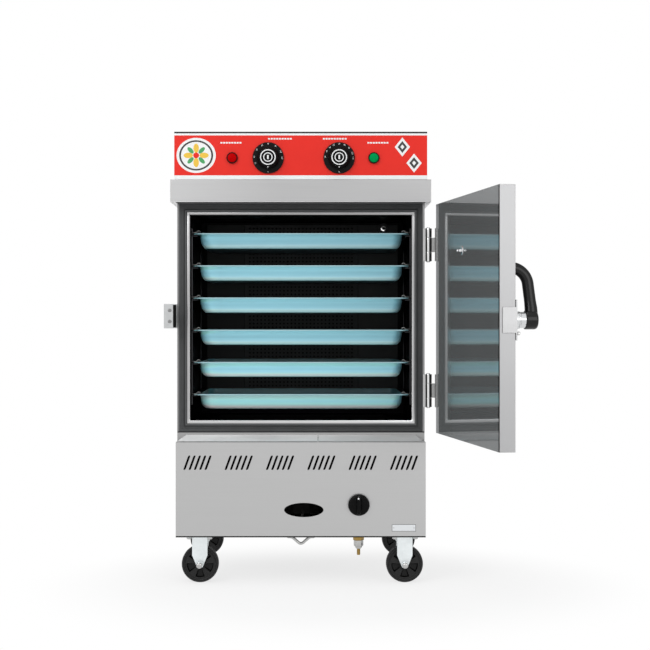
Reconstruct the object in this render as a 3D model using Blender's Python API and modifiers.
"""Rice steamer cabinet on casters, with six trays, a hinged door, electric controls and a gas burner.

Metres, +Z up. The pieces are laid out in the cabinet's frame: X to the right, Y to the back, the body's
front face at Y = 0, its middle at X = 0 and the floor at Z = 0. An empty carries that frame, so that the
origin lies on the floor under the middle of the whole object with its door open.
"""

import math

import bmesh
import bpy
from mathutils import Matrix, Vector

# Fits, sheet and roundness
GAP = 0.0003
SHEET = 0.001
OVERRUN = 0.004
MERGE = 0.00001
ROUND_SIDES = 28
SMALL_SIDES = 12
WIRE_SIDES = 8
HEX_SIDES = 6
ARC_STEPS = 4

# Door opening and the front frame around it
OPENING_WIDTH = 0.611
OPENING_HEIGHT = 0.5665
TRIM_SIDE = 0.0095
TRIM_END = 0.0115
GASKET_SIDE = 0.0215
GASKET_END = 0.018
GASKET_DEPTH = 0.006
GASKET_BASE_DEPTH = 0.003
GASKET_BULB = 0.0055
STRIP_SIDE = 0.0055

# Body, base, hood and control box
BODY_DEPTH = 0.540
FRONT_REACH = 0.050
REAR_REACH = 0.060
CASTER_HEIGHT = 0.131
BASE_HEIGHT = 0.260
SILL_HEIGHT = 0.0575
HEAD_HEIGHT = 0.0335
HOOD_HEIGHT = 0.062
HOOD_SIDE_REACH = 0.015
CONTROL_SIDE_REACH = 0.004
CONTROL_HEIGHT = 0.130
CONTROL_DEPTH = 0.200
PANEL_RETURN = 0.020

# Drip ledge
LEDGE_HEIGHT = 0.0175
LEDGE_LIP = 0.002
LEDGE_BACK_INSET = 0.026
LEDGE_FRONT_INSET = 0.010

# Cavity
CAVITY_SIDE_REACH = 0.0045
REAR_WALL = 0.040
CAVITY_ABOVE = 0.0095
CAVITY_BELOW = 0.009
COVE_RADIUS = 0.012
BAFFLE_SIDE_GAP = 0.0205
BAFFLE_DEPTH = 0.060
BAFFLE_BOTTOM_GAP = 0.020
BAFFLE_TOP_GAP = 0.010
VENT_PIPE_SIDE_INSET = 0.064
VENT_PIPE_BELOW_CEILING = 0.0205
VENT_PIPE_RADIUS = 0.0105
VENT_PIPE_BORE = 0.008
VENT_FLANGE_RADIUS = 0.0165
VENT_FLANGE_DEPTH = 0.005
VENT_PIPE_REACH = 0.030

# Trays and the racks that carry them
TRAY_COUNT = 6
FIRST_RIM_RISE = 0.0695
LAST_RIM_DROP = 0.048
TRAY_SIDE_CLEARANCE = 0.004
TRAY_REAR_CLEARANCE = 0.005
TRAY_DEPTH = 0.0425
TRAY_RIM = 0.0173
TRAY_WALL_RUN = 0.008
TRAY_BEND = 0.010
TRAY_SHEET = 0.0012
TRAY_RIM_CORNER = 0.020
TRAY_CORNER = 0.030
TRAY_SETBACK = 0.035
RAIL_RADIUS = 0.003
RACK_END_INSET = 0.028
RACK_FOOT = 0.030

# Door, closed against the gasket and modelled about its pin
DOOR_SIDE_INSET = 0.006
DOOR_THICKNESS = 0.040
DOOR_LAP_BELOW = 0.035
DOOR_LAP_ABOVE = 0.0305
DOOR_OPEN_ANGLE = math.radians(98.5)
PIN_OUT = 0.011
PIN_BACK = 0.012
PIN_RADIUS = 0.0035
PIN_CLEARANCE = 0.0004
PIN_HEAD_HEIGHT = 0.003
KNUCKLE_RADIUS = 0.0097
KNUCKLE_GAP = 0.0005
HINGE_HEIGHT = 0.091
MIDDLE_KNUCKLE = 0.040
HINGE_FROM_TOP = 0.1115
HINGE_FROM_BOTTOM = 0.1165
LEAF_SHEET = 0.0025
BODY_LEAF_REACH = 0.045
BODY_LEAF_LIP = 0.005
DOOR_LEAF_REACH = 0.036
DOOR_LEAF_LIP = 0.0143

# Latch on the door, keeper on the cabinet
LATCH_BELOW_MIDDLE = 0.004
LATCH_INSET = 0.027
LATCH_PLATE_WIDTH = 0.054
LATCH_PLATE_HEIGHT = 0.096
LATCH_PLATE_DEPTH = 0.0037
LATCH_EDGE_HEIGHT = 0.062
LATCH_EDGE_WRAP = 0.032
LATCH_EDGE_SHEET = 0.002
CAM_THICKNESS = 0.005
CAM_REACH = 0.037
CAM_WIDTH = 0.018
BOSS_RADIUS = 0.0195
BOSS_LENGTH = 0.0248
SPINDLE_RADIUS = 0.006
SPINDLE_LENGTH = 0.018
LEVER_HUB_RADIUS = 0.0225
LEVER_HUB_LENGTH = 0.0246
LEVER_RADIUS = 0.012
LEVER_SLOPE = math.radians(5)
LEVER_BEND_RADIUS = 0.042
LEVER_RISE = 0.125
LEVER_LEAN = 0.020
LEVER_TIP_CLEARANCE = 0.004
LEVER_STEPS = 7
KEEPER_HEIGHT = 0.067
KEEPER_RISE = 0.011
KEEPER_REACH = 0.031
KEEPER_LIP = 0.0252
KEEPER_SHEET = 0.004
KEEPER_FOOT = 0.030
KEEPER_FRONT = 0.066
STRIKE_WIDTH = 0.008
STRIKE_DEPTH = 0.008
STRIKE_HEIGHT = 0.062

# Dials, knobs and lamps on the control fascia
CONTROL_LINE = 0.058
TIMER_X = -0.089
THERMOSTAT_X = 0.105
DIAL_RADIUS = 0.043
DIAL_DEPTH = 0.005
DIAL_NECK_RADIUS = 0.007
UNIT_WIDTH = 0.052
UNIT_DEPTH = 0.036
SHAFT_RADIUS = 0.003
SHAFT_LENGTH = 0.014
KNOB_RADIUS = 0.0315
KNOB_TOP_RADIUS = 0.0295
KNOB_HEIGHT = 0.022
RED_LAMP_X = -0.1875
GREEN_LAMP_X = 0.200
LAMP_RADIUS = 0.0156
LAMP_BEZEL_DEPTH = 0.007
LAMP_RECESS = 0.003
LAMP_NECK_RADIUS = 0.011
LAMP_BODY_LENGTH = 0.034
LENS_RADIUS = 0.0132
LENS_RISE = 0.006
GLAND_SIDE_INSET = 0.076
GLAND_RADIUS = 0.013
GLAND_NECK_RADIUS = 0.009
GLAND_BORE = 0.004
GLAND_LENGTH = 0.022
GLAND_INSIDE = 0.012

# Base front panel
VENT_GROUPS = 6
VENT_END_INSET = 0.0595
VENT_SLOTS = 5
VENT_SLOT_SPACING = 0.0145
VENT_SLOT_WIDTH = 0.006
VENT_SLOT_HEIGHT = 0.040
VENT_SLANT = math.radians(20)
VENT_BELOW_TOP = 0.0557
OVAL_WIDTH = 0.108
OVAL_HEIGHT = 0.039
OVAL_X = 0.0085
OVAL_RISE = 0.075

# Gas valve, knob, inlet and burner
VALVE_X = 0.159
VALVE_RISE = 0.0895
VALVE_NECK_RADIUS = 0.008
VALVE_BODY_RADIUS = 0.014
VALVE_BODY_LENGTH = 0.040
VALVE_INLET_RADIUS = 0.0075
VALVE_INLET_SETBACK = 0.034
STEM_RADIUS = 0.004
STEM_LENGTH = 0.026
STEM_PUSH = 0.005
GAS_KNOB_RADIUS = 0.0295
GAS_KNOB_TOP_RADIUS = 0.0265
GAS_KNOB_HEIGHT = 0.012
GAS_GRIP_WIDTH = 0.013
GAS_GRIP_HEIGHT = 0.012
INLET_COLLAR_RADIUS = 0.015
INLET_COLLAR_HEIGHT = 0.011
INLET_NUT_RADIUS = 0.013
INLET_NUT_HEIGHT = 0.0165
INLET_TAPER_HEIGHT = 0.0085
INLET_TAIL_RADIUS = 0.005
INLET_TAIL_LENGTH = 0.016
INLET_BORE = 0.0025
BURNER_RADIUS = 0.110
BURNER_INNER_RADIUS = 0.045
BURNER_HEIGHT = 0.028
BURNER_LEG_HEIGHT = 0.040
BURNER_LEG_RADIUS = 0.006
BURNER_LEGS = 3
FEED_PIPE_RADIUS = 0.007
AIR_HOLE_RADIUS = 0.080
LOOP_RADIUS = 0.004
LOOP_WIDTH = 0.048
LOOP_DROP = 0.0255
LOOP_FOOT = 0.016
LOOP_SETBACK = 0.045

# Water tank, heating element and rear cover
TANK_SIDE_INSET = 0.050
TANK_FRONT = 0.060
TANK_DEPTH = 0.148
TANK_FLANGE = 0.012
ELEMENT_RADIUS = 0.005
ELEMENT_WIDTH = 0.050
ELEMENT_END_GAP = 0.080
ELEMENT_RISE = 0.040
ELEMENT_FLANGE_RADIUS = 0.039
ELEMENT_FLANGE_DEPTH = 0.006
REAR_COVER_WIDTH = 0.320
REAR_COVER_HEIGHT = 0.250

# Casters
WHEEL_RADIUS = 0.051
WHEEL_WIDTH = 0.036
WHEEL_EDGE = 0.004
WHEEL_HUB_RADIUS = 0.016
WHEEL_HUB_WIDTH = 0.040
WHEEL_WEB = 0.014
WHEEL_RIM_RADIUS = 0.041
WHEEL_BORE_CLEARANCE = 0.0006
AXLE_RADIUS = 0.005
AXLE_HEAD_RADIUS = 0.0075
AXLE_HEAD_DEPTH = 0.004
FORK_SHEET = 0.003
FORK_SIDE_CLEARANCE = 0.002
FORK_WIDTH = 0.0425
FORK_END_RADIUS = 0.011
FORK_TAPER_RISE = 0.025
PLATE_LENGTH = 0.095
PLATE_WIDTH = 0.070
PLATE_SHEET = 0.0027
CASTER_SIDE_INSET = 0.059
CASTER_SHIFT = 0.004
FRONT_CASTER_Y = 0.015
REAR_CASTER_INSET = 0.065
REAR_SWIVEL_SIDE_INSET = 0.078
TRAIL = 0.032
CROWN_RADIUS = 0.030
CROWN_THICKNESS = 0.004
WHEEL_TOP_CLEARANCE = 0.003
RACE_RADIUS = 0.026
KING_PIN_RADIUS = 0.006
KING_PIN_CLEARANCE = 0.0005
KING_HEAD_RADIUS = 0.009
KING_HEAD_HEIGHT = 0.004

# Heights and widths worked out from the sizes above
BODY_WIDTH = OPENING_WIDTH + 2 * (TRIM_SIDE + GASKET_SIDE + STRIP_SIDE)
BODY_SIDE = BODY_WIDTH / 2
BASE_BOTTOM = CASTER_HEIGHT
BASE_TOP = BASE_BOTTOM + BASE_HEIGHT
OPENING_SIDE = OPENING_WIDTH / 2
OPENING_BOTTOM = BASE_TOP + SILL_HEIGHT
OPENING_TOP = OPENING_BOTTOM + OPENING_HEIGHT
TRIM_OUTER = OPENING_SIDE + TRIM_SIDE
TRIM_BOTTOM = OPENING_BOTTOM - TRIM_END
TRIM_TOP = OPENING_TOP + TRIM_END
HOOD_BOTTOM = OPENING_TOP + HEAD_HEIGHT
HOOD_TOP = HOOD_BOTTOM + HOOD_HEIGHT
HOOD_SIDE = BODY_SIDE + HOOD_SIDE_REACH
SHELL_TOP = HOOD_TOP - SHEET - GAP
BASE_REAR = BODY_DEPTH + REAR_REACH
CONTROL_BOTTOM = HOOD_TOP + GAP
CONTROL_TOP = CONTROL_BOTTOM + CONTROL_HEIGHT
CONTROL_SIDE = BODY_SIDE + CONTROL_SIDE_REACH
GLAND_X = CONTROL_SIDE - GLAND_SIDE_INSET
CONTROL_REAR = CONTROL_DEPTH - FRONT_REACH
DIAL_LINE = CONTROL_BOTTOM + CONTROL_LINE
CAVITY_SIDE = OPENING_SIDE + CAVITY_SIDE_REACH
CAVITY_DEPTH = BODY_DEPTH - REAR_WALL
CAVITY_FLOOR = OPENING_BOTTOM - CAVITY_BELOW
CAVITY_CEILING = OPENING_TOP + CAVITY_ABOVE
BAFFLE_WIDTH = 2 * (CAVITY_SIDE - BAFFLE_SIDE_GAP)
BAFFLE_SETBACK = CAVITY_DEPTH - BAFFLE_DEPTH
VENT_PIPE_X = CAVITY_SIDE - VENT_PIPE_SIDE_INSET
TRAY_WIDTH = 2 * (OPENING_SIDE - TRAY_SIDE_CLEARANCE)
TRAY_LENGTH = BAFFLE_SETBACK - TRAY_REAR_CLEARANCE - TRAY_SETBACK
TRAY_SPACING = (OPENING_HEIGHT - FIRST_RIM_RISE - LAST_RIM_DROP) / (TRAY_COUNT - 1)
TANK_WIDTH = 2 * (CAVITY_SIDE - TANK_SIDE_INSET)
TANK_LENGTH = BAFFLE_SETBACK - TANK_FRONT
ELEMENT_LENGTH = TANK_LENGTH - ELEMENT_END_GAP
BURNER_SETBACK = TANK_FRONT + TANK_LENGTH / 2
VENT_GROUP_SPACING = (BODY_WIDTH - 2 * VENT_END_INSET) / (VENT_GROUPS - 1)
PIN_X = BODY_SIDE + PIN_OUT
PIN_Y = PIN_BACK
DOOR_BOTTOM = OPENING_BOTTOM - DOOR_LAP_BELOW
DOOR_TOP = OPENING_TOP + DOOR_LAP_ABOVE
DOOR_INNER = -GASKET_DEPTH - GAP - PIN_Y
DOOR_OUTER = DOOR_INNER - DOOR_THICKNESS
DOOR_SIDE = BODY_SIDE - DOOR_SIDE_INSET
DOOR_HINGE_EDGE = DOOR_SIDE - PIN_X
DOOR_LATCH_EDGE = -DOOR_SIDE - PIN_X
LATCH_X = DOOR_LATCH_EDGE + LATCH_INSET
LATCH_HEIGHT = (DOOR_BOTTOM + DOOR_TOP) / 2 - LATCH_BELOW_MIDDLE
LEVER_OFFSET = LATCH_PLATE_DEPTH + CAM_THICKNESS + BOSS_LENGTH + 2 * GAP
VALVE_HEIGHT = BASE_BOTTOM + VALVE_RISE
PANEL_BACK = -FRONT_REACH + SHEET
WHEEL_TOP = 2 * WHEEL_RADIUS
CROWN_BOTTOM = WHEEL_TOP + WHEEL_TOP_CLEARANCE
CROWN_TOP = CROWN_BOTTOM + CROWN_THICKNESS
LEG_INNER = WHEEL_HUB_WIDTH / 2 + FORK_SIDE_CLEARANCE
LEG_OUTER = LEG_INNER + FORK_SHEET
REAR_CASTER_Y = BASE_REAR - REAR_CASTER_INSET
CASTER_X = BODY_SIDE - CASTER_SIDE_INSET
REAR_SWIVEL_X = BODY_SIDE - REAR_SWIVEL_SIDE_INSET

# The origin is under the middle of the whole object, which the open door and its latch widen to the right
OPEN_LEAN = DOOR_OPEN_ANGLE - math.pi / 2
LEVER_FACE = -DOOR_OUTER + LEVER_OFFSET + LEVER_HUB_LENGTH
HUB_EDGE = LEVER_HUB_RADIUS - LATCH_X
RIGHT_REACH = PIN_X + HUB_EDGE * math.sin(OPEN_LEAN) + LEVER_FACE * math.cos(OPEN_LEAN)
LEFT_REACH = BODY_SIDE + KEEPER_REACH
WRAP_EDGE = GAP + LATCH_EDGE_SHEET - DOOR_LATCH_EDGE
WRAP_BACK = DOOR_OUTER + LATCH_EDGE_WRAP
DOOR_REACH = WRAP_EDGE * math.cos(OPEN_LEAN) + WRAP_BACK * math.sin(OPEN_LEAN) - PIN_Y
DATUM_X = (LEFT_REACH - RIGHT_REACH) / 2
DATUM_Y = (DOOR_REACH - BASE_REAR) / 2

STAINLESS = ("stainless", (0.60, 0.60, 0.60), 0.38, 1.0)
MIRROR_STEEL = ("mirror steel", (0.66, 0.68, 0.69), 0.12, 1.0)
DARK_STEEL = ("cavity steel", (0.18, 0.18, 0.19), 0.40, 1.0)
RUBBER = ("gasket rubber", (0.10, 0.10, 0.10), 0.70, 0.0)
FOAM = ("insulation", (0.85, 0.78, 0.55), 0.90, 0.0)
RED_PRINT = ("red fascia", (0.86, 0.05, 0.02), 0.40, 0.0)
TRAY_BLUE = ("film on the tray", (0.36, 0.64, 0.76), 0.30, 0.0)
BLACK_PLASTIC = ("black plastic", (0.02, 0.02, 0.02), 0.40, 0.0)
BLACK_RUBBER = ("black rubber", (0.03, 0.03, 0.03), 0.60, 0.0)
ZINC = ("zinc plate", (0.78, 0.80, 0.82), 0.35, 1.0)
CHROME = ("chrome", (0.80, 0.80, 0.80), 0.10, 1.0)
BRASS = ("brass", (0.70, 0.50, 0.22), 0.30, 1.0)
IRON = ("cast iron", (0.12, 0.12, 0.12), 0.70, 1.0)
RED_LENS = ("red lens", (0.75, 0.02, 0.02), 0.10, 0.0)
GREEN_LENS = ("green lens", (0.02, 0.45, 0.12), 0.10, 0.0)

for old in list(bpy.data.objects):
    bpy.data.objects.remove(old)

parts = bpy.data.collections.new("rice_steamer_cabinet")
cutters = bpy.data.collections.new("cutters")
bpy.context.scene.collection.children.link(parts)
bpy.context.scene.collection.children.link(cutters)


def finish_material(finish):
    """The material of a finish, made once."""
    name, colour, roughness, metallic = finish
    if name in bpy.data.materials:
        return bpy.data.materials[name]
    made = bpy.data.materials.new(name)
    made.use_nodes = True
    shader = made.node_tree.nodes["Principled BSDF"]
    shader.inputs["Base Color"].default_value = (*colour, 1)
    shader.inputs["Roughness"].default_value = roughness
    shader.inputs["Metallic"].default_value = metallic
    return made


def add(name, data, frame, finish=None):
    """An object in a frame: a part if it has a finish, otherwise a hidden helper shape."""
    made = bpy.data.objects.new(name, data)
    made.parent = frame
    if finish:
        data.materials.append(finish_material(finish))
        parts.objects.link(made)
    else:
        made.hide_render = True
        made.display_type = "WIRE"
        cutters.objects.link(made)
    return made


def frame_at(name, place, parent=None, turn=0.0):
    """An empty that carries pieces, turned about Z."""
    made = bpy.data.objects.new(name, None)
    made.location = place
    made.rotation_euler.z = turn
    made.parent = parent
    parts.objects.link(made)
    return made


def from_bmesh(name, shape, frame, finish=None):
    mesh = bpy.data.meshes.new(name)
    shape.to_mesh(mesh)
    shape.free()
    return add(name, mesh, frame, finish)


def block(name, low, high, frame, finish=None):
    """A box between two corners."""
    shape = bmesh.new()
    bmesh.ops.create_cube(shape, size=1)
    for corner in shape.verts:
        corner.co = [a if share < 0 else b for share, a, b in zip(corner.co, low, high)]
    return from_bmesh(name, shape, frame, finish)


def pan(name, low, high, open_way, frame, finish, sheet=SHEET):
    """A sheet-metal box with one side open, its wall inside the given corners."""
    shape = bmesh.new()
    bmesh.ops.create_cube(shape, size=1)
    bmesh.ops.recalc_face_normals(shape, faces=shape.faces)
    way = Vector(open_way)
    lid = [face for face in shape.faces if face.normal.dot(way) > 0.5]
    for corner in shape.verts:
        corner.co = [a if share < 0 else b for share, a, b in zip(corner.co, low, high)]
    bmesh.ops.delete(shape, geom=lid, context="FACES_ONLY")
    made = from_bmesh(name, shape, frame, finish)
    wall = made.modifiers.new("wall", "SOLIDIFY")
    wall.thickness = sheet
    wall.offset = -1
    wall.use_even_offset = True
    return made


def drum(name, start, end, radius, frame, finish=None, sides=ROUND_SIDES, end_radius=None):
    """A cylinder, or a cone, between two points."""
    start, end = Vector(start), Vector(end)
    axis = end - start
    turn = axis.to_track_quat("Z", "Y").to_matrix().to_4x4()
    shape = bmesh.new()
    bmesh.ops.create_cone(
        shape,
        cap_ends=True,
        segments=sides,
        radius1=radius,
        radius2=radius if end_radius is None else end_radius,
        depth=axis.length,
        matrix=Matrix.Translation((start + end) / 2) @ turn,
    )
    return from_bmesh(name, shape, frame, finish)


def as_mesh(shape, finish=None):
    """The mesh of a curve, its caps welded on, in the curve's place."""
    bpy.context.view_layer.update()
    graph = bpy.context.evaluated_depsgraph_get()
    mesh = bpy.data.meshes.new_from_object(shape.evaluated_get(graph))
    mesh.materials.clear()
    solid = bmesh.new()
    solid.from_mesh(mesh)
    bmesh.ops.remove_doubles(solid, verts=solid.verts, dist=MERGE)
    bmesh.ops.recalc_face_normals(solid, faces=solid.faces)
    solid.to_mesh(mesh)
    solid.free()
    name, frame, place = shape.name, shape.parent, shape.matrix_world.copy()
    curve = shape.data
    bpy.data.objects.remove(shape)
    bpy.data.curves.remove(curve)
    made = add(name, mesh, frame, finish)
    made.matrix_world = place
    return made


def prism(name, outlines, start, end, frame, finish=None, facing="Y"):
    """A flat outline, with any holes, drawn in X and Z and run along Y from start to end, or drawn in X
    and Y and run along Z."""
    curve = bpy.data.curves.new(name, "CURVE")
    curve.dimensions = "2D"
    curve.fill_mode = "BOTH"
    curve.extrude = (end - start) / 2
    for outline in outlines:
        spline = curve.splines.new("POLY")
        spline.points.add(len(outline) - 1)
        for point, (x, y) in zip(spline.points, outline):
            point.co = (x, y, 0, 1)
        spline.use_cyclic_u = True
    made = bpy.data.objects.new(name, curve)
    made.parent = frame
    middle = (start + end) / 2
    made.location = (0, middle, 0) if facing == "Y" else (0, 0, middle)
    made.rotation_euler.x = math.pi / 2 if facing == "Y" else 0
    cutters.objects.link(made)
    return as_mesh(made, finish)


def tube(name, points, radius, frame, finish=None, resolution=2):
    """A round wire or pipe along a list of points."""
    curve = bpy.data.curves.new(name, "CURVE")
    curve.dimensions = "3D"
    curve.bevel_depth = radius
    curve.bevel_resolution = resolution
    curve.use_fill_caps = True
    spline = curve.splines.new("POLY")
    spline.points.add(len(points) - 1)
    for point, place in zip(spline.points, points):
        point.co = (*place, 1)
    made = bpy.data.objects.new(name, curve)
    made.parent = frame
    cutters.objects.link(made)
    return as_mesh(made, finish)


def turned(name, profile, place, frame, finish=None, along="Z", sides=ROUND_SIDES, closed=False):
    """A turned solid. The profile holds radius and height, and runs down its outer side. Along Y it faces
    the front, so that its height counts towards the viewer."""
    shape = bmesh.new()
    corners = [shape.verts.new((radius, 0, height)) for radius, height in profile]
    for a, b in zip(corners, corners[1:]):
        shape.edges.new((a, b))
    if closed:
        shape.edges.new((corners[-1], corners[0]))
    made = from_bmesh(name, shape, frame, finish)
    made.location = place
    made.rotation_euler.x = math.pi / 2 if along == "Y" else 0
    turn = made.modifiers.new("turn", "SCREW")
    turn.steps = sides
    turn.render_steps = sides
    turn.use_merge_vertices = True
    turn.merge_threshold = MERGE
    turn.use_smooth_shade = True
    return made


def combine(target, operation, shapes):
    """Joins the helper shapes to the target, or cuts them out of it."""
    for shape in shapes:
        step = target.modifiers.new(operation.lower(), "BOOLEAN")
        step.operation = operation
        step.object = shape
    return target


def join(target, *shapes):
    return combine(target, "UNION", shapes)


def cut(target, *shapes):
    return combine(target, "DIFFERENCE", shapes)


def arc(centre, radius, start, end, steps=ARC_STEPS):
    """Points on an arc, from one angle to another, both ends included."""
    angles = [start + (end - start) * step / steps for step in range(steps + 1)]
    return [(centre[0] + radius * math.cos(a), centre[1] + radius * math.sin(a)) for a in angles]


def rectangle(side, bottom, top):
    """A rectangle that reaches as far to the left as to the right."""
    return [(-side, bottom), (side, bottom), (side, top), (-side, top)]


def coved(side, bottom, top, radius):
    """A rectangle whose two upper corners are round."""
    return [
        (-side, bottom),
        (side, bottom),
        *arc((side - radius, top - radius), radius, 0, math.pi / 2),
        *arc((radius - side, top - radius), radius, math.pi / 2, math.pi),
    ]


def rounded(half_x, half_y, radius, steps=3):
    """A rectangle about the middle with round corners."""
    points = []
    for quarter, (sx, sy) in enumerate(((1, 1), (-1, 1), (-1, -1), (1, -1))):
        centre = (sx * (half_x - radius), sy * (half_y - radius))
        points += arc(centre, radius, quarter * math.pi / 2, (quarter + 1) * math.pi / 2, steps)
    return points


def moved(points, x=0.0, y=0.0):
    return [(a + x, b + y) for a, b in points]


datum = frame_at("cabinet_datum", (DATUM_X, DATUM_Y, 0))
door_axis = frame_at("door_axis", (PIN_X, PIN_Y, 0), datum, DOOR_OPEN_ANGLE)


def make_body():
    """The outer shell, its insulation, the liner with its turned-out trim, and the baffle at its back."""
    vent_place = (VENT_PIPE_X, CAVITY_CEILING - VENT_PIPE_BELOW_CEILING)
    shell_opening = block(
        "shell_opening",
        (-TRIM_OUTER - GAP, -OVERRUN, TRIM_BOTTOM - GAP),
        (TRIM_OUTER + GAP, SHEET + OVERRUN, TRIM_TOP + GAP),
        datum,
    )
    vent_hole = drum(
        "vent_hole",
        (vent_place[0], BAFFLE_SETBACK - OVERRUN, vent_place[1]),
        (vent_place[0], BODY_DEPTH + OVERRUN, vent_place[1]),
        VENT_PIPE_RADIUS + GAP,
        datum,
        sides=SMALL_SIDES,
    )
    shell = pan(
        "outer_shell",
        (-BODY_SIDE, 0, BASE_TOP + GAP),
        (BODY_SIDE, BODY_DEPTH, SHELL_TOP),
        (0, 0, -1),
        datum,
        STAINLESS,
    )
    cut(shell, shell_opening, vent_hole)

    liner = prism(
        "cavity_liner",
        [coved(CAVITY_SIDE + SHEET, CAVITY_FLOOR - SHEET, CAVITY_CEILING + SHEET, COVE_RADIUS + SHEET)],
        SHEET / 2,
        CAVITY_DEPTH + SHEET,
        datum,
        DARK_STEEL,
    )
    trim = prism("trim", [rectangle(TRIM_OUTER, TRIM_BOTTOM, TRIM_TOP)], 0, SHEET, datum)
    inside = prism(
        "liner_inside",
        [coved(CAVITY_SIDE, CAVITY_FLOOR, CAVITY_CEILING, COVE_RADIUS)],
        SHEET,
        CAVITY_DEPTH,
        datum,
    )
    mouth = block(
        "liner_mouth",
        (-OPENING_SIDE, -OVERRUN, OPENING_BOTTOM),
        (OPENING_SIDE, SHEET + OVERRUN, OPENING_TOP),
        datum,
    )
    steam_hole = block(
        "steam_hole",
        (TANK_FLANGE - TANK_WIDTH / 2, TANK_FRONT + TANK_FLANGE, CAVITY_FLOOR - SHEET - OVERRUN),
        (TANK_WIDTH / 2 - TANK_FLANGE, TANK_FRONT + TANK_LENGTH - TANK_FLANGE, CAVITY_FLOOR + OVERRUN),
        datum,
    )
    join(liner, trim)
    cut(liner, inside, mouth, steam_hole, vent_hole)

    insulation = block(
        "wall_insulation",
        (SHEET + GAP - BODY_SIDE, SHEET + GAP, BASE_TOP + SHEET),
        (BODY_SIDE - SHEET - GAP, BODY_DEPTH - SHEET - GAP, SHELL_TOP - SHEET - GAP),
        datum,
        FOAM,
    )
    liner_room = prism(
        "liner_room",
        [
            coved(
                TRIM_OUTER,
                CAVITY_FLOOR - SHEET - GAP,
                CAVITY_CEILING + SHEET + GAP,
                COVE_RADIUS + SHEET,
            )
        ],
        -OVERRUN,
        CAVITY_DEPTH + SHEET + GAP,
        datum,
    )
    tank_room = block(
        "tank_room",
        (-TANK_WIDTH / 2 - GAP, TANK_FRONT - GAP, BASE_TOP - OVERRUN),
        (TANK_WIDTH / 2 + GAP, TANK_FRONT + TANK_LENGTH + GAP, CAVITY_FLOOR + OVERRUN),
        datum,
    )
    cut(insulation, liner_room, tank_room, vent_hole)

    baffle = pan(
        "rear_baffle",
        (-BAFFLE_WIDTH / 2, BAFFLE_SETBACK, CAVITY_FLOOR + BAFFLE_BOTTOM_GAP),
        (BAFFLE_WIDTH / 2, CAVITY_DEPTH - GAP, CAVITY_CEILING - BAFFLE_TOP_GAP),
        (0, 1, 0),
        datum,
        DARK_STEEL,
    )
    cut(baffle, vent_hole)

    vent_length = BODY_DEPTH + VENT_PIPE_REACH - BAFFLE_SETBACK
    turned(
        "steam_vent",
        [
            (VENT_PIPE_BORE, VENT_FLANGE_DEPTH),
            (VENT_FLANGE_RADIUS, VENT_FLANGE_DEPTH),
            (VENT_FLANGE_RADIUS, GAP),
            (VENT_PIPE_RADIUS, GAP),
            (VENT_PIPE_RADIUS, -vent_length),
            (VENT_PIPE_BORE, -vent_length),
        ],
        (vent_place[0], BAFFLE_SETBACK, vent_place[1]),
        datum,
        CHROME,
        along="Y",
        sides=SMALL_SIDES,
        closed=True,
    )


def make_gasket():
    """The rubber seal around the opening: a flat strip with a bulb on its inner edge."""

    def ring(name, inner_grow, outer_grow_side, outer_grow_end, depth, finish=None):
        inner = rectangle(TRIM_OUTER + inner_grow, TRIM_BOTTOM - inner_grow, TRIM_TOP + inner_grow)
        outer_side = TRIM_OUTER + outer_grow_side
        outer = rectangle(outer_side, TRIM_BOTTOM - outer_grow_end, TRIM_TOP + outer_grow_end)
        return prism(name, [outer, inner], -depth, -GAP, datum, finish)

    seal = ring("door_gasket", GAP, GASKET_SIDE, GASKET_END, GASKET_BASE_DEPTH, RUBBER)
    start = 3 * GAP
    bulb = ring("gasket_bulb", start, start + GASKET_BULB, start + GASKET_BULB, GASKET_DEPTH)
    join(seal, bulb)


def make_ledge():
    """The sloped ledge that throws drips forward, hipped at both ends."""
    side = BODY_SIDE - GAP
    ledge = block(
        "drip_ledge",
        (-side, GAP - FRONT_REACH, BASE_TOP + GAP),
        (side, -GAP, BASE_TOP + LEDGE_HEIGHT),
        datum,
        STAINLESS,
    )
    for corner in ledge.data.vertices:
        if corner.co.z > BASE_TOP + LEDGE_LIP:
            front = corner.co.y < -FRONT_REACH / 2
            inset = LEDGE_FRONT_INSET if front else LEDGE_BACK_INSET
            corner.co.x = math.copysign(side - inset, corner.co.x)
            if front:
                corner.co.z = BASE_TOP + LEDGE_LIP


def slot_outline(width, height, slant):
    """A slot with round ends, leaning to the right by the slant."""
    reach = (height - width) / 2
    top = arc((0, reach), width / 2, 0, math.pi)
    bottom = arc((0, -reach), width / 2, math.pi, 2 * math.pi)
    return [(x + y * math.tan(slant), y) for x, y in top + bottom]


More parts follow.
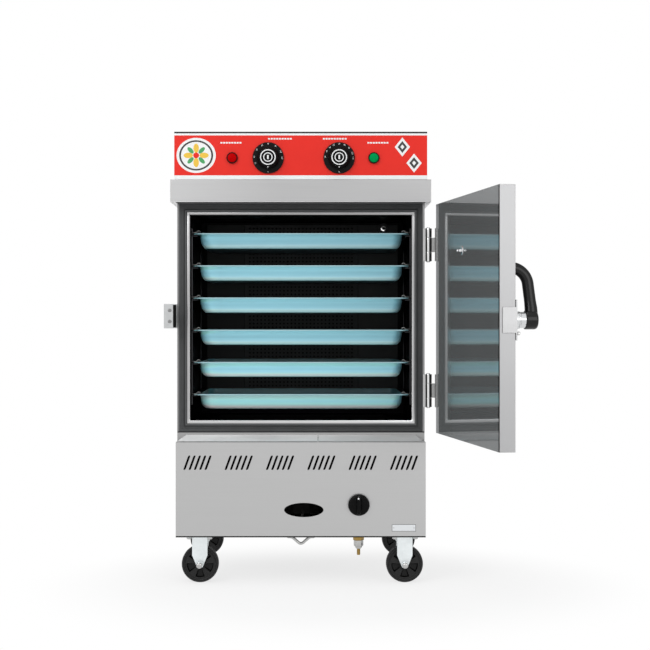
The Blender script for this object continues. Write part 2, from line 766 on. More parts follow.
def make_base():
    """The base box, its vented front panel and the loop of bent rod under its floor."""
    base = pan(
        "base_shell",
        (-BODY_SIDE, PANEL_RETURN + GAP - FRONT_REACH, BASE_BOTTOM),
        (BODY_SIDE, BASE_REAR, BASE_TOP),
        (0, -1, 0),
        datum,
        STAINLESS,
    )
    deck_hole = block(
        "deck_hole",
        (-TANK_WIDTH / 2 - GAP, TANK_FRONT - GAP, BASE_TOP - SHEET - OVERRUN),
        (TANK_WIDTH / 2 + GAP, TANK_FRONT + TANK_LENGTH + GAP, BASE_TOP + OVERRUN),
        datum,
    )
    air_hole = drum(
        "air_hole",
        (0, BURNER_SETBACK, BASE_BOTTOM - OVERRUN),
        (0, BURNER_SETBACK, BASE_BOTTOM + SHEET + OVERRUN),
        AIR_HOLE_RADIUS,
        datum,
    )
    inlet_y = VALVE_INLET_SETBACK - FRONT_REACH
    inlet_hole = drum(
        "inlet_hole",
        (VALVE_X, inlet_y, BASE_BOTTOM - OVERRUN),
        (VALVE_X, inlet_y, BASE_BOTTOM + SHEET + OVERRUN),
        VALVE_INLET_RADIUS + GAP,
        datum,
        sides=SMALL_SIDES,
    )
    cut(base, deck_hole, air_hole, inlet_hole)

    panel = pan(
        "base_front_panel",
        (-BODY_SIDE, -FRONT_REACH, BASE_BOTTOM),
        (BODY_SIDE, PANEL_RETURN - FRONT_REACH, BASE_TOP),
        (0, 1, 0),
        datum,
        STAINLESS,
    )
    slots = []
    for group in range(VENT_GROUPS):
        for slot in range(VENT_SLOTS):
            across = (group - (VENT_GROUPS - 1) / 2) * VENT_GROUP_SPACING
            across += (slot - (VENT_SLOTS - 1) / 2) * VENT_SLOT_SPACING
            outline = slot_outline(VENT_SLOT_WIDTH, VENT_SLOT_HEIGHT, VENT_SLANT)
            slots.append(moved(outline, across, BASE_TOP - VENT_BELOW_TOP))
    oval_angles = [math.tau * n / ROUND_SIDES for n in range(ROUND_SIDES)]
    oval_share = [(math.cos(a), math.sin(a)) for a in oval_angles]
    oval = [(x * OVAL_WIDTH / 2, y * OVAL_HEIGHT / 2) for x, y in oval_share]
    stem_hole = arc((VALVE_X, VALVE_HEIGHT), VALVE_NECK_RADIUS + GAP, 0, math.tau, SMALL_SIDES)[:-1]
    openings = prism(
        "panel_openings",
        [*slots, moved(oval, OVAL_X, BASE_BOTTOM + OVAL_RISE), stem_hole],
        -FRONT_REACH - OVERRUN,
        PANEL_BACK + OVERRUN,
        datum,
    )
    cut(panel, openings)

    foot = BASE_BOTTOM - GAP - LOOP_RADIUS
    half_loop = LOOP_WIDTH / 2
    tube(
        "burner_hanger",
        [
            (-half_loop - LOOP_FOOT, LOOP_SETBACK - FRONT_REACH, foot),
            (-half_loop, LOOP_SETBACK - FRONT_REACH, foot),
            (0, LOOP_SETBACK - FRONT_REACH, BASE_BOTTOM - LOOP_DROP),
            (half_loop, LOOP_SETBACK - FRONT_REACH, foot),
            (half_loop + LOOP_FOOT, LOOP_SETBACK - FRONT_REACH, foot),
        ],
        LOOP_RADIUS,
        datum,
        ZINC,
    )


def make_top():
    """The hood over the door, the control box on it, its fascia and the gland at its back."""
    pan(
        "hood",
        (-HOOD_SIDE, -FRONT_REACH, HOOD_BOTTOM),
        (HOOD_SIDE, BODY_DEPTH + HOOD_SIDE_REACH, HOOD_TOP),
        (0, 0, -1),
        datum,
        STAINLESS,
    )
    gland_y = CONTROL_REAR
    control_box = pan(
        "control_box",
        (GAP - CONTROL_SIDE, PANEL_BACK + GAP, CONTROL_BOTTOM),
        (CONTROL_SIDE - GAP, CONTROL_REAR, CONTROL_TOP - GAP),
        (0, -1, 0),
        datum,
        STAINLESS,
    )
    gland_hole = drum(
        "gland_hole",
        (GLAND_X, gland_y - SHEET - OVERRUN, DIAL_LINE),
        (GLAND_X, gland_y + OVERRUN, DIAL_LINE),
        GLAND_NECK_RADIUS + GAP,
        datum,
        sides=SMALL_SIDES,
    )
    cut(control_box, gland_hole)
    turned(
        "cable_gland",
        [
            (GLAND_BORE, SHEET + GLAND_INSIDE),
            (GLAND_NECK_RADIUS, SHEET + GLAND_INSIDE),
            (GLAND_NECK_RADIUS, -GAP),
            (GLAND_RADIUS, -GAP),
            (GLAND_RADIUS, -GLAND_LENGTH / 2),
            (GLAND_NECK_RADIUS, -GLAND_LENGTH),
            (GLAND_BORE, -GLAND_LENGTH),
        ],
        (GLAND_X, gland_y, DIAL_LINE),
        datum,
        BLACK_PLASTIC,
        along="Y",
        sides=SMALL_SIDES,
        closed=True,
    )
    holes = []
    for centre, radius in (
        (TIMER_X, DIAL_NECK_RADIUS),
        (THERMOSTAT_X, DIAL_NECK_RADIUS),
        (RED_LAMP_X, LAMP_NECK_RADIUS),
        (GREEN_LAMP_X, LAMP_NECK_RADIUS),
    ):
        holes.append(arc((centre, DIAL_LINE), radius + GAP, 0, math.tau, SMALL_SIDES)[:-1])
    prism(
        "control_fascia",
        [rectangle(CONTROL_SIDE, CONTROL_BOTTOM, CONTROL_TOP), *holes],
        -FRONT_REACH,
        PANEL_BACK,
        datum,
        RED_PRINT,
    )


def make_dial(name, knob_name, x):
    """A dial unit: its body behind the fascia, its black skirt in front, its shaft and the knob on it."""
    face = -FRONT_REACH
    unit = drum(
        name,
        (x, face - GAP - DIAL_DEPTH, DIAL_LINE),
        (x, face - GAP, DIAL_LINE),
        DIAL_RADIUS,
        datum,
        BLACK_PLASTIC,
    )
    body_front = PANEL_BACK + 2 * GAP
    body = block(
        name + "_body",
        (x - UNIT_WIDTH / 2, body_front, DIAL_LINE - UNIT_WIDTH / 2),
        (x + UNIT_WIDTH / 2, body_front + UNIT_DEPTH, DIAL_LINE + UNIT_WIDTH / 2),
        datum,
    )
    neck = drum(
        name + "_neck",
        (x, face - DIAL_DEPTH / 2, DIAL_LINE),
        (x, body_front + SHEET, DIAL_LINE),
        DIAL_NECK_RADIUS,
        datum,
        sides=SMALL_SIDES,
    )
    shaft = drum(
        name + "_shaft",
        (x, face - DIAL_DEPTH - SHAFT_LENGTH, DIAL_LINE),
        (x, face - DIAL_DEPTH / 2, DIAL_LINE),
        SHAFT_RADIUS,
        datum,
        sides=SMALL_SIDES,
    )
    join(unit, neck, body, shaft)
    knob_back = GAP + DIAL_DEPTH + GAP
    bore = SHAFT_RADIUS + GAP
    turned(
        knob_name,
        [
            (0, knob_back + KNOB_HEIGHT),
            (KNOB_TOP_RADIUS, knob_back + KNOB_HEIGHT),
            (KNOB_RADIUS, knob_back + KNOB_HEIGHT / 2),
            (KNOB_RADIUS, knob_back),
            (bore, knob_back),
            (bore, DIAL_DEPTH + SHAFT_LENGTH + GAP),
            (0, DIAL_DEPTH + SHAFT_LENGTH + GAP),
        ],
        (x, face, DIAL_LINE),
        datum,
        BLACK_PLASTIC,
        along="Y",
    )


def make_lamp(colour, x, lens_finish):
    """An indicator lamp: the bezel with its body behind the fascia, and the domed lens in the bezel."""
    turned(
        colour + "_lamp_body",
        [
            (0, LAMP_BEZEL_DEPTH - LAMP_RECESS),
            (LENS_RADIUS + GAP, LAMP_BEZEL_DEPTH - LAMP_RECESS),
            (LENS_RADIUS + GAP, LAMP_BEZEL_DEPTH),
            (LAMP_RADIUS, LAMP_BEZEL_DEPTH),
            (LAMP_RADIUS, GAP),
            (LAMP_NECK_RADIUS, GAP),
            (LAMP_NECK_RADIUS, -LAMP_BODY_LENGTH),
            (0, -LAMP_BODY_LENGTH),
        ],
        (x, -FRONT_REACH, DIAL_LINE),
        datum,
        BLACK_PLASTIC,
        along="Y",
        sides=SMALL_SIDES,
    )
    foot = LAMP_BEZEL_DEPTH - LAMP_RECESS + GAP
    dome = [
        (LENS_RADIUS * math.sin(a), foot + LAMP_RECESS + (LENS_RISE - LAMP_RECESS) * math.cos(a))
        for a in (math.pi / 2 * n / ARC_STEPS for n in range(ARC_STEPS + 1))
    ]
    turned(
        colour + "_lamp_lens",
        [*dome, (LENS_RADIUS, foot), (0, foot)],
        (x, -FRONT_REACH, DIAL_LINE),
        datum,
        lens_finish,
        along="Y",
        sides=SMALL_SIDES,
    )


def make_gas():
    """The valve behind the front panel, its sliding stem and knob, the hose tail and the ring burner."""
    neck_front = -FRONT_REACH - GAP
    body_front = PANEL_BACK + GAP
    body_back = body_front + VALVE_BODY_LENGTH
    inlet_y = VALVE_INLET_SETBACK - FRONT_REACH
    inlet_foot = BASE_BOTTOM + SHEET + GAP
    valve = drum(
        "gas_valve",
        (VALVE_X, body_front, VALVE_HEIGHT),
        (VALVE_X, body_back, VALVE_HEIGHT),
        VALVE_BODY_RADIUS,
        datum,
        BRASS,
        sides=SMALL_SIDES,
    )
    neck = drum(
        "valve_neck",
        (VALVE_X, neck_front, VALVE_HEIGHT),
        (VALVE_X, body_front + SHEET, VALVE_HEIGHT),
        VALVE_NECK_RADIUS,
        datum,
        sides=SMALL_SIDES,
    )
    inlet = drum(
        "valve_inlet",
        (VALVE_X, inlet_y, inlet_foot + INLET_COLLAR_HEIGHT),
        (VALVE_X, inlet_y, VALVE_HEIGHT),
        VALVE_INLET_RADIUS,
        datum,
        sides=SMALL_SIDES,
    )
    stem_room = drum(
        "stem_room",
        (VALVE_X, neck_front - OVERRUN, VALVE_HEIGHT),
        (VALVE_X, neck_front + STEM_LENGTH / 2 + STEM_PUSH + GAP, VALVE_HEIGHT),
        STEM_RADIUS + GAP,
        datum,
        sides=SMALL_SIDES,
    )
    join(valve, neck, inlet)
    cut(valve, stem_room)

    stem_axis = frame_at("stem_axis", (VALVE_X, neck_front, VALVE_HEIGHT), datum)
    drum(
        "gas_stem",
        (0, -STEM_LENGTH / 2, 0),
        (0, STEM_LENGTH / 2, 0),
        STEM_RADIUS,
        stem_axis,
        ZINC,
        sides=SMALL_SIDES,
    )
    knob_back = STEM_PUSH + GAP
    bore = STEM_RADIUS + GAP
    knob_front = knob_back + GAS_KNOB_HEIGHT
    knob = turned(
        "gas_knob",
        [
            (0, knob_front),
            (GAS_KNOB_TOP_RADIUS, knob_front),
            (GAS_KNOB_RADIUS, knob_back + GAS_KNOB_HEIGHT / 2),
            (GAS_KNOB_RADIUS, knob_back),
            (bore, knob_back),
            (bore, STEM_LENGTH / 2 + GAP),
            (0, STEM_LENGTH / 2 + GAP),
        ],
        (0, 0, 0),
        stem_axis,
        BLACK_PLASTIC,
        along="Y",
    )
    grip = block(
        "gas_grip",
        (-GAS_GRIP_WIDTH / 2, -knob_front - GAS_GRIP_HEIGHT, GAP - GAS_KNOB_TOP_RADIUS),
        (GAS_GRIP_WIDTH / 2, -knob_front + GAS_KNOB_HEIGHT / 4, GAS_KNOB_TOP_RADIUS - GAP),
        stem_axis,
    )
    join(knob, grip)

    tail_top = -INLET_COLLAR_HEIGHT - INLET_NUT_HEIGHT
    tail_foot = tail_top - INLET_TAPER_HEIGHT - INLET_TAIL_LENGTH
    turned(
        "hose_barb",
        [
            (INLET_BORE, SHEET + INLET_COLLAR_HEIGHT),
            (VALVE_INLET_RADIUS, SHEET + INLET_COLLAR_HEIGHT),
            (VALVE_INLET_RADIUS, -GAP),
            (INLET_COLLAR_RADIUS, -GAP),
            (INLET_COLLAR_RADIUS, -INLET_COLLAR_HEIGHT),
            (INLET_NUT_RADIUS, -INLET_COLLAR_HEIGHT),
            (INLET_NUT_RADIUS, tail_top),
            (INLET_TAIL_RADIUS, tail_top - INLET_TAPER_HEIGHT),
            (INLET_TAIL_RADIUS, tail_foot),
            (INLET_BORE, tail_foot),
        ],
        (VALVE_X, inlet_y, BASE_BOTTOM),
        datum,
        BRASS,
        sides=SMALL_SIDES,
        closed=True,
    )

    leg_foot = BASE_BOTTOM + SHEET + GAP
    ring_bottom = leg_foot + BURNER_LEG_HEIGHT
    ring_top = ring_bottom + BURNER_HEIGHT
    burner = turned(
        "gas_burner",
        [
            (BURNER_INNER_RADIUS, ring_top),
            (BURNER_RADIUS, ring_top),
            (BURNER_RADIUS, ring_bottom),
            (BURNER_INNER_RADIUS, ring_bottom),
        ],
        (0, BURNER_SETBACK, 0),
        datum,
        IRON,
        closed=True,
    )
    leg_circle = BURNER_RADIUS - BURNER_LEG_RADIUS * 2
    shapes = []
    for leg in range(BURNER_LEGS):
        angle = math.tau * leg / BURNER_LEGS + math.pi / 2
        x, y = leg_circle * math.cos(angle), BURNER_SETBACK + leg_circle * math.sin(angle)
        middle = ring_bottom + BURNER_HEIGHT / 2
        shapes.append(
            drum(
                "burner_leg",
                (x, y, leg_foot),
                (x, y, middle),
                BURNER_LEG_RADIUS,
                datum,
                sides=SMALL_SIDES,
            )
        )
    bend = FEED_PIPE_RADIUS * 4
    pipe_height = (ring_bottom + ring_top) / 2
    shapes.append(
        tube(
            "feed_pipe",
            [
                (BURNER_RADIUS - BURNER_HEIGHT / 2, BURNER_SETBACK, pipe_height),
                (VALVE_X - bend, BURNER_SETBACK, pipe_height),
                (VALVE_X - bend / 4, BURNER_SETBACK - bend / 4, pipe_height),
                (VALVE_X, BURNER_SETBACK - bend, pipe_height),
                (VALVE_X, body_back + bend * 2, VALVE_HEIGHT),
                (VALVE_X, body_back + GAP, VALVE_HEIGHT),
            ],
            FEED_PIPE_RADIUS,
            datum,
        )
    )
    join(burner, *shapes)


def make_water():
    """The water tank under the liner, the immersion element in it and the cover over the water feed."""
    tank_top = CAVITY_FLOOR - SHEET - GAP
    tank_rear = TANK_FRONT + TANK_LENGTH
    tank = pan(
        "water_tank",
        (-TANK_WIDTH / 2, TANK_FRONT, tank_top - TANK_DEPTH),
        (TANK_WIDTH / 2, tank_rear, tank_top),
        (0, 0, 1),
        datum,
        STAINLESS,
    )
    element_height = tank_top - TANK_DEPTH + ELEMENT_RISE
    element_hole = drum(
        "element_hole",
        (0, tank_rear - SHEET - OVERRUN, element_height),
        (0, tank_rear + OVERRUN, element_height),
        ELEMENT_WIDTH / 2 + ELEMENT_RADIUS * 3 / 2,
        datum,
    )
    cut(tank, element_hole)

    flange_front = tank_rear + GAP
    element = drum(
        "heating_element",
        (0, flange_front, element_height),
        (0, flange_front + ELEMENT_FLANGE_DEPTH, element_height),
        ELEMENT_FLANGE_RADIUS,
        datum,
        CHROME,
    )
    bend = ELEMENT_WIDTH / 2
    root = flange_front + ELEMENT_FLANGE_DEPTH / 2
    front = tank_rear - ELEMENT_LENGTH
    loop = [(x, front + bend - y, element_height) for x, y in arc((0, 0), bend, math.pi, 0, ARC_STEPS * 2)]
    rod = tube(
        "element_rod",
        [(-bend, root, element_height), *loop, (bend, root, element_height)],
        ELEMENT_RADIUS,
        datum,
    )
    join(element, rod)

    pan(
        "rear_cover",
        (-REAR_COVER_WIDTH / 2, BODY_DEPTH + GAP, BASE_TOP + GAP),
        (REAR_COVER_WIDTH / 2, BASE_REAR, BASE_TOP + REAR_COVER_HEIGHT),
        (0, -1, 0),
        datum,
        STAINLESS,
    )


def rim_height(level):
    return OPENING_BOTTOM + FIRST_RIM_RISE + level * TRAY_SPACING


def make_rack(name, way):
    """A rack of bent rails between two uprights, against one side wall of the cavity."""
    upright_x = way * (CAVITY_SIDE - GAP - RAIL_RADIUS)
    rail_x = way * (TRAY_WIDTH / 2 - TRAY_RIM / 2)
    front = TRAY_SETBACK + RACK_END_INSET
    back = TRAY_SETBACK + TRAY_LENGTH - RACK_END_INSET
    low = rim_height(0) - RACK_FOOT
    high = rim_height(TRAY_COUNT - 1) + RACK_FOOT / 2
    rails = []
    for level in range(TRAY_COUNT):
        height = rim_height(level) - TRAY_SHEET - GAP - RAIL_RADIUS
        points = [
            (upright_x, front, height),
            (rail_x, front, height),
            (rail_x, back, height),
            (upright_x, back, height),
        ]
        rails.append(tube(f"{name}_rail_{level}", points, RAIL_RADIUS, datum, resolution=1))
    foot, head = (upright_x, front, low), (upright_x, front, high)
    upright = drum(name, foot, head, RAIL_RADIUS, datum, ZINC, sides=WIRE_SIDES)
    foot, head = (upright_x, back, low), (upright_x, back, high)
    rear = drum(name + "_rear", foot, head, RAIL_RADIUS, datum, sides=WIRE_SIDES)
    join(upright, *rails[:1], rear, *rails[1:])


def make_tray(level):
    """A pressed tray: a flat rim, sloping walls with round corners and a flat bottom."""
    half_x, half_y = TRAY_WIDTH / 2, TRAY_LENGTH / 2
    top = rim_height(level)
    loops = []
    for inset, drop, corner in (
        (0, 0, TRAY_RIM_CORNER),
        (TRAY_RIM, 0, TRAY_CORNER),
        (TRAY_RIM + TRAY_WALL_RUN, TRAY_DEPTH - TRAY_BEND, TRAY_CORNER),
        (TRAY_RIM + TRAY_WALL_RUN + TRAY_BEND / 3, TRAY_DEPTH - TRAY_BEND / 3, TRAY_CORNER),
        (TRAY_RIM + TRAY_WALL_RUN + TRAY_BEND, TRAY_DEPTH, TRAY_CORNER),
    ):
        outline = rounded(half_x - inset, half_y - inset, corner)
        loops.append([(x, y, top - drop) for x, y in outline])
    shape = bmesh.new()
    rings = [[shape.verts.new(point) for point in loop] for loop in loops]
    count = len(rings[0])
    for outer, inner in zip(rings, rings[1:]):
        for n in range(count):
            shape.faces.new((outer[n], outer[(n + 1) % count], inner[(n + 1) % count], inner[n]))
    shape.faces.new(rings[-1])
    middle = TRAY_SETBACK + TRAY_LENGTH / 2
    slide = frame_at(f"tray_slide_{level + 1}", (0, middle, 0), datum)
    tray = from_bmesh(f"tray_{level + 1}", shape, slide, TRAY_BLUE)
    wall = tray.modifiers.new("wall", "SOLIDIFY")
    wall.thickness = TRAY_SHEET
    wall.offset = -1


def make_door():
    """The door's two skins with the insulation between them."""
    pan(
        "door_outer_skin",
        (DOOR_LATCH_EDGE, DOOR_OUTER, DOOR_BOTTOM),
        (DOOR_HINGE_EDGE, DOOR_INNER - SHEET - GAP, DOOR_TOP),
        (0, 1, 0),
        door_axis,
        STAINLESS,
    )
    block(
        "door_inner_skin",
        (DOOR_LATCH_EDGE + GAP, DOOR_INNER - SHEET, DOOR_BOTTOM + GAP),
        (DOOR_HINGE_EDGE - GAP, DOOR_INNER, DOOR_TOP - GAP),
        door_axis,
        MIRROR_STEEL,
    )
    inset = SHEET + GAP
    block(
        "door_insulation",
        (DOOR_LATCH_EDGE + inset, DOOR_OUTER + inset, DOOR_BOTTOM + inset),
        (DOOR_HINGE_EDGE - inset, DOOR_INNER - inset, DOOR_TOP - inset),
        door_axis,
        FOAM,
    )


def make_hinge(level, middle):
    """A hinge: the body leaf with two knuckles and the pin, and the door leaf with the middle knuckle."""
    low, high = middle - HINGE_HEIGHT / 2, middle + HINGE_HEIGHT / 2
    knuckle_low, knuckle_high = middle - MIDDLE_KNUCKLE / 2, middle + MIDDLE_KNUCKLE / 2
    side = BODY_SIDE + GAP
    body_leaf = block(
        f"hinge_leaf_{level}",
        (side, -GAP - LEAF_SHEET, low),
        (side + LEAF_SHEET, BODY_LEAF_REACH, high),
        datum,
        STAINLESS,
    )
    lip = block(
        f"{level}_body_lip",
        (side - BODY_LEAF_LIP, -GAP - LEAF_SHEET, low),
        (side + LEAF_SHEET / 2, -GAP, high),
        datum,
    )
    notch_reach = KNUCKLE_RADIUS + OVERRUN
    notch = block(
        f"{level}_notch",
        (side - OVERRUN, PIN_Y - notch_reach, knuckle_low - KNUCKLE_GAP),
        (PIN_X, PIN_Y + notch_reach, knuckle_high + KNUCKLE_GAP),
        datum,
    )
    cut(join(body_leaf, lip), notch)
    shapes = []
    ends = ((low, knuckle_low - KNUCKLE_GAP), (knuckle_high + KNUCKLE_GAP, high))
    for end, (start, stop) in enumerate(ends):
        shapes.append(
            drum(
                f"{level}_knuckle_{end}",
                (PIN_X, PIN_Y, start),
                (PIN_X, PIN_Y, stop),
                KNUCKLE_RADIUS,
                datum,
                sides=ROUND_SIDES // 2,
            )
        )
    shapes.append(
        drum(
            f"{level}_pin",
            (PIN_X, PIN_Y, low - PIN_HEAD_HEIGHT),
            (PIN_X, PIN_Y, high + PIN_HEAD_HEIGHT),
            PIN_RADIUS,
            datum,
            sides=SMALL_SIDES,
        )
    )
    join(body_leaf, *shapes)

    edge = DOOR_HINGE_EDGE + GAP
    inner = DOOR_INNER + GAP
    door_leaf = drum(
        f"door_hinge_{level}",
        (0, 0, knuckle_low),
        (0, 0, knuckle_high),
        KNUCKLE_RADIUS,
        door_axis,
        STAINLESS,
        sides=ROUND_SIDES // 2,
    )
    edge_plate = block(
        f"{level}_edge_plate",
        (edge, inner - DOOR_LEAF_REACH, low),
        (edge + LEAF_SHEET, inner + LEAF_SHEET, high),
        door_axis,
    )
    face_lip = block(
        f"{level}_face_lip",
        (edge - DOOR_LEAF_LIP, inner, low),
        (edge + LEAF_SHEET / 2, inner + LEAF_SHEET, high),
        door_axis,
    )
    web = block(
        f"{level}_web",
        (edge, inner, knuckle_low),
        (LEAF_SHEET, inner + LEAF_SHEET, knuckle_high),
        door_axis,
    )
    riser = block(
        f"{level}_riser",
        (0, inner, knuckle_low),
        (LEAF_SHEET, -PIN_RADIUS - LEAF_SHEET, knuckle_high),
        door_axis,
    )
    bore = drum(
        f"{level}_pin_bore",
        (0, 0, knuckle_low - OVERRUN),
        (0, 0, knuckle_high + OVERRUN),
        PIN_RADIUS + PIN_CLEARANCE,
        door_axis,
        sides=SMALL_SIDES,
    )
    cut(join(door_leaf, edge_plate, face_lip, web, riser), bore)


def make_latch():
    """The latch: its plate around the door's edge, the chrome boss with the cam, and the black lever."""
    plate_face = DOOR_OUTER - GAP - LATCH_PLATE_DEPTH
    plate = block(
        "latch_base",
        (DOOR_LATCH_EDGE - GAP - LATCH_EDGE_SHEET, plate_face, LATCH_HEIGHT - LATCH_PLATE_HEIGHT / 2),
        (DOOR_LATCH_EDGE + LATCH_PLATE_WIDTH, DOOR_OUTER - GAP, LATCH_HEIGHT + LATCH_PLATE_HEIGHT / 2),
        door_axis,
        STAINLESS,
    )
    wrap_start = plate_face + LATCH_PLATE_DEPTH / 2
    half_wrap = LATCH_EDGE_HEIGHT / 2
    wrap = block(
        "latch_wrap",
        (DOOR_LATCH_EDGE - GAP - LATCH_EDGE_SHEET, wrap_start, LATCH_HEIGHT - half_wrap),
        (DOOR_LATCH_EDGE - GAP, DOOR_OUTER + LATCH_EDGE_WRAP, LATCH_HEIGHT + half_wrap),
        door_axis,
    )
    join(plate, wrap)

    latch_axis = frame_at("latch_axis", (LATCH_X, plate_face - GAP, LATCH_HEIGHT), door_axis)
    boss = drum(
        "latch_cam",
        (0, -CAM_THICKNESS - BOSS_LENGTH, 0),
        (0, -CAM_THICKNESS / 2, 0),
        BOSS_RADIUS,
        latch_axis,
        CHROME,
    )
    half_cam = CAM_WIDTH / 2
    cam_outline = [
        *arc((0, 0), BOSS_RADIUS, 0, math.pi, ARC_STEPS * 2),
        *arc((0, half_cam - CAM_REACH), half_cam, math.pi, 2 * math.pi),
    ]
    cam = prism("cam_plate", [cam_outline], -CAM_THICKNESS, 0, latch_axis)
    hub_back = -CAM_THICKNESS - BOSS_LENGTH - GAP
    spindle = drum(
        "cam_spindle",
        (0, hub_back - SPINDLE_LENGTH, 0),
        (0, -CAM_THICKNESS, 0),
        SPINDLE_RADIUS,
        latch_axis,
        sides=SMALL_SIDES,
    )
    join(boss, cam, spindle)

    hub_front = hub_back - LEVER_HUB_LENGTH
    lever = drum(
        "latch_lever",
        (0, hub_front, 0),
        (0, hub_back, 0),
        LEVER_HUB_RADIUS,
        latch_axis,
        BLACK_PLASTIC,
    )
    hub_middle = (hub_front + hub_back) / 2
    bend_start = LEVER_RISE - LEVER_BEND_RADIUS * (1 - math.sin(LEVER_SLOPE))
    bend_y = hub_middle + (bend_start - LEVER_HUB_RADIUS) * math.tan(LEVER_SLOPE)
    tip_y = LATCH_PLATE_DEPTH + 2 * GAP - LEVER_TIP_CLEARANCE
    bar = [(0, hub_middle, 0), (0, hub_middle, LEVER_HUB_RADIUS)]
    for step in range(LEVER_STEPS + 1):
        angle = LEVER_SLOPE + (math.pi / 2 - LEVER_SLOPE) * step / LEVER_STEPS
        rise = bend_start + LEVER_BEND_RADIUS * (math.sin(angle) - math.sin(LEVER_SLOPE))
        bend_depth = LEVER_BEND_RADIUS * (math.cos(LEVER_SLOPE) - math.cos(angle))
        bar.append((LEVER_LEAN * rise / LEVER_RISE, min(bend_y + bend_depth, tip_y - GAP), rise))
    bar.append((LEVER_LEAN, tip_y, LEVER_RISE))
    grip = tube("lever_bar", bar, LEVER_RADIUS, latch_axis, resolution=3)
    bore = drum(
        "lever_bore",
        (0, hub_back - SPINDLE_LENGTH - GAP, 0),
        (0, hub_back + OVERRUN, 0),
        SPINDLE_RADIUS + GAP,
        latch_axis,
        sides=SMALL_SIDES,
    )
    cut(join(lever, grip), bore)


def make_keeper():
    """The keeper bracket on the cabinet's left side and the black strike that the cam goes behind."""
    middle = LATCH_HEIGHT + KEEPER_RISE
    low, high = middle - KEEPER_HEIGHT / 2, middle + KEEPER_HEIGHT / 2
    outer = -BODY_SIDE - KEEPER_REACH
    lip_end = outer + KEEPER_LIP
    keeper = block(
        "door_keeper",
        (outer, -KEEPER_FRONT, low),
        (outer + KEEPER_SHEET, KEEPER_FOOT, high),
        datum,
        ZINC,
    )
    lip = block(
        "keeper_lip",
        (outer + KEEPER_SHEET / 2, -KEEPER_FRONT, low),
        (lip_end, KEEPER_SHEET - KEEPER_FRONT, high),
        datum,
    )
    foot = block(
        "keeper_foot",
        (outer + KEEPER_SHEET / 2, 0, low),
        (-BODY_SIDE - GAP, KEEPER_FOOT, high),
        datum,
    )
    join(keeper, lip, foot)
    block(
        "keeper_strike",
        (lip_end + GAP, -KEEPER_FRONT, middle - STRIKE_HEIGHT / 2),
        (lip_end + GAP + STRIKE_WIDTH, STRIKE_DEPTH - KEEPER_FRONT, middle + STRIKE_HEIGHT / 2),
        datum,
        BLACK_PLASTIC,
    )


def leg_outline(top, axle_x, axle_z, top_middle):
    """A caster leg: straight at the top, tapering to a round end at the axle."""
    half_leg = FORK_WIDTH / 2
    side = FORK_END_RADIUS
    return [
        (top_middle - half_leg, top),
        (top_middle - half_leg, axle_z + FORK_TAPER_RISE),
        *arc((axle_x, axle_z), side, math.pi, 2 * math.pi),
        (top_middle + half_leg, axle_z + FORK_TAPER_RISE),
        (top_middle + half_leg, top),
    ]


def fork_parts(name, frame, top, axle_x, top_middle):
    """The two legs, the axle and its bolt heads, about a wheel whose middle plane is at Y = 0."""
    outline = [leg_outline(top, axle_x, WHEEL_RADIUS, top_middle)]
    head_face = LEG_OUTER + AXLE_HEAD_DEPTH
    return [
        prism(name + "_front_leg", outline, -LEG_OUTER, -LEG_INNER, frame),
        prism(name + "_rear_leg", outline, LEG_INNER, LEG_OUTER, frame),
        drum(
            name + "_axle",
            (axle_x, -LEG_OUTER, WHEEL_RADIUS),
            (axle_x, LEG_OUTER, WHEEL_RADIUS),
            AXLE_RADIUS,
            frame,
            sides=SMALL_SIDES,
        ),
        drum(
            name + "_front_head",
            (axle_x, -head_face, WHEEL_RADIUS),
            (axle_x, -LEG_INNER - FORK_SHEET / 2, WHEEL_RADIUS),
            AXLE_HEAD_RADIUS,
            frame,
            sides=HEX_SIDES,
        ),
        drum(
            name + "_rear_head",
            (axle_x, LEG_INNER + FORK_SHEET / 2, WHEEL_RADIUS),
            (axle_x, head_face, WHEEL_RADIUS),
            AXLE_HEAD_RADIUS,
            frame,
            sides=HEX_SIDES,
        ),
    ]


def make_wheel(name, frame, x):
    """A moulded wheel with a deep web, on a plain bore."""
    half_hub, half_tread, half_web = WHEEL_HUB_WIDTH / 2, WHEEL_WIDTH / 2, WHEEL_WEB / 2
    bore = AXLE_RADIUS + WHEEL_BORE_CLEARANCE
    upper = [
        (bore, half_hub),
        (WHEEL_HUB_RADIUS, half_hub),
        (WHEEL_HUB_RADIUS, half_web),
        (WHEEL_RIM_RADIUS, half_web),
        (WHEEL_RIM_RADIUS, half_tread),
        (WHEEL_RADIUS - WHEEL_EDGE, half_tread),
        (WHEEL_RADIUS, half_tread - WHEEL_EDGE),
    ]
    lower = [(radius, -height) for radius, height in reversed(upper)]
    axle = frame_at(name + "_axle", (x, 0, WHEEL_RADIUS), frame)
    turned(name, upper + lower, (0, 0, 0), axle, BLACK_RUBBER, along="Y", closed=True)


def make_front_caster(side_name, way):
    """A rigid caster: plate, two legs and the axle in one, and its wheel."""
    frame = frame_at(f"front_{side_name}", (way * CASTER_X + CASTER_SHIFT, FRONT_CASTER_Y, 0), datum)
    plate_top = BASE_BOTTOM - GAP
    plate = block(
        f"caster_fork_front_{side_name}",
        (-PLATE_WIDTH / 2, -PLATE_LENGTH / 2, plate_top - PLATE_SHEET),
        (PLATE_WIDTH / 2, PLATE_LENGTH / 2, plate_top),
        frame,
        ZINC,
    )
    join(plate, *fork_parts(f"front_{side_name}", frame, plate_top - PLATE_SHEET / 2, 0, 0))
    make_wheel(f"wheel_front_{side_name}", frame, 0)


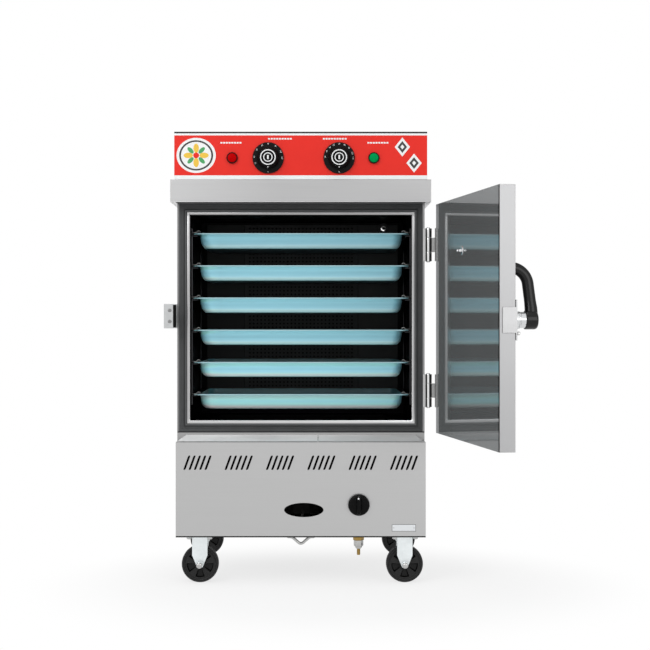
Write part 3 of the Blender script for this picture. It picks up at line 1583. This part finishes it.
def make_rear_caster(side_name, way):
    """A swivel caster: plate, race and king pin on the cabinet, and the fork with its wheel under them."""
    frame = frame_at(f"rear_{side_name}", (way * REAR_SWIVEL_X, REAR_CASTER_Y, 0), datum)
    plate_top = BASE_BOTTOM - GAP
    plate = block(
        f"caster_plate_rear_{side_name}",
        (-PLATE_WIDTH / 2, -PLATE_LENGTH / 2, plate_top - PLATE_SHEET),
        (PLATE_WIDTH / 2, PLATE_LENGTH / 2, plate_top),
        frame,
        ZINC,
    )
    race = drum(
        f"race_{side_name}",
        (0, 0, CROWN_TOP + GAP),
        (0, 0, plate_top - PLATE_SHEET / 2),
        RACE_RADIUS,
        frame,
    )
    pin = drum(
        f"king_pin_{side_name}",
        (0, 0, CROWN_BOTTOM - KING_HEAD_HEIGHT - GAP),
        (0, 0, CROWN_TOP + RACE_RADIUS / 4),
        KING_PIN_RADIUS,
        frame,
        sides=SMALL_SIDES,
    )
    head = drum(
        f"king_head_{side_name}",
        (0, 0, CROWN_BOTTOM - KING_HEAD_HEIGHT - GAP),
        (0, 0, CROWN_BOTTOM - GAP),
        KING_HEAD_RADIUS,
        frame,
        sides=SMALL_SIDES,
    )
    join(plate, race, pin, head)

    swivel = frame_at(f"swivel_{side_name}", (0, 0, 0), frame)
    crown = drum(
        f"caster_fork_rear_{side_name}",
        (0, 0, CROWN_BOTTOM),
        (0, 0, CROWN_TOP),
        CROWN_RADIUS,
        swivel,
        ZINC,
    )
    trail = way * TRAIL
    pin_hole = drum(
        f"king_hole_{side_name}",
        (0, 0, CROWN_BOTTOM - OVERRUN),
        (0, 0, CROWN_TOP + OVERRUN),
        KING_PIN_RADIUS + KING_PIN_CLEARANCE,
        swivel,
        sides=SMALL_SIDES,
    )
    leg_middle = trail - way * (TRAIL - FORK_WIDTH / 4)
    shapes = fork_parts(f"rear_{side_name}", swivel, CROWN_TOP - CROWN_THICKNESS / 2, trail, leg_middle)
    cut(join(crown, *shapes), pin_hole)
    make_wheel(f"wheel_rear_{side_name}", swivel, trail)


make_body()
make_gasket()
make_ledge()
make_base()
make_top()
make_dial("timer_unit", "timer_knob", TIMER_X)
make_dial("thermostat_unit", "thermostat_knob", THERMOSTAT_X)
make_lamp("red", RED_LAMP_X, RED_LENS)
make_lamp("green", GREEN_LAMP_X, GREEN_LENS)
make_gas()
make_water()
make_rack("tray_rack_left", -1)
make_rack("tray_rack_right", 1)
for tray_level in range(TRAY_COUNT):
    make_tray(tray_level)
make_door()
make_hinge("upper", DOOR_TOP - HINGE_FROM_TOP)
make_hinge("lower", DOOR_BOTTOM + HINGE_FROM_BOTTOM)
make_latch()
make_keeper()
for caster_side, caster_way in (("left", -1), ("right", 1)):
    make_front_caster(caster_side, caster_way)
    make_rear_caster(caster_side, caster_way)
